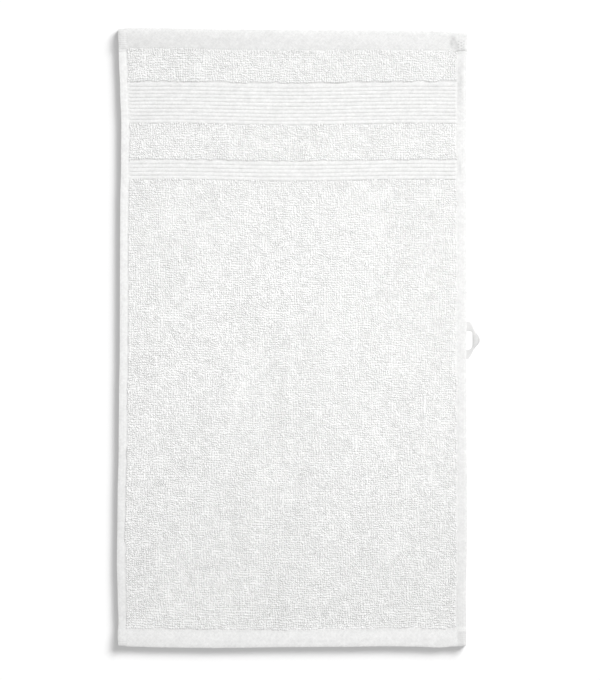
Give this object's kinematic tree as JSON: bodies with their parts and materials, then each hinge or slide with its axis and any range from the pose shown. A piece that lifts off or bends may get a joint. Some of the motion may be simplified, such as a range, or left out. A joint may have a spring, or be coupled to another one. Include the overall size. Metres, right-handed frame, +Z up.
{
  "type": "terry towel with ribbed borders",
  "caption": "Terry towel lying flat, with ribbed woven borders near one end, folded hems on all four sides and a small tape hanging loop on one long side.",
  "frame": {"origin": "middle of the towel's outline, hanging loop included, on the surface that it lies on", "axes": "+Z up from the face side, +Y along the towel towards the end with the ribbed borders, +X towards the side with the hanging loop"},
  "size_m": [0.5304, 0.9072, 0.0039],
  "materials": {
    "terry_cotton": "matt white cotton loop pile, with flat woven ribbed borders and plain woven hems",
    "cotton_tape": "matt white woven tape"
  },
  "bodies": {
    "root": {"towel_cloth": "terry_cotton", "hanging_loop": "cotton_tape"}
  },
  "joints": []
}
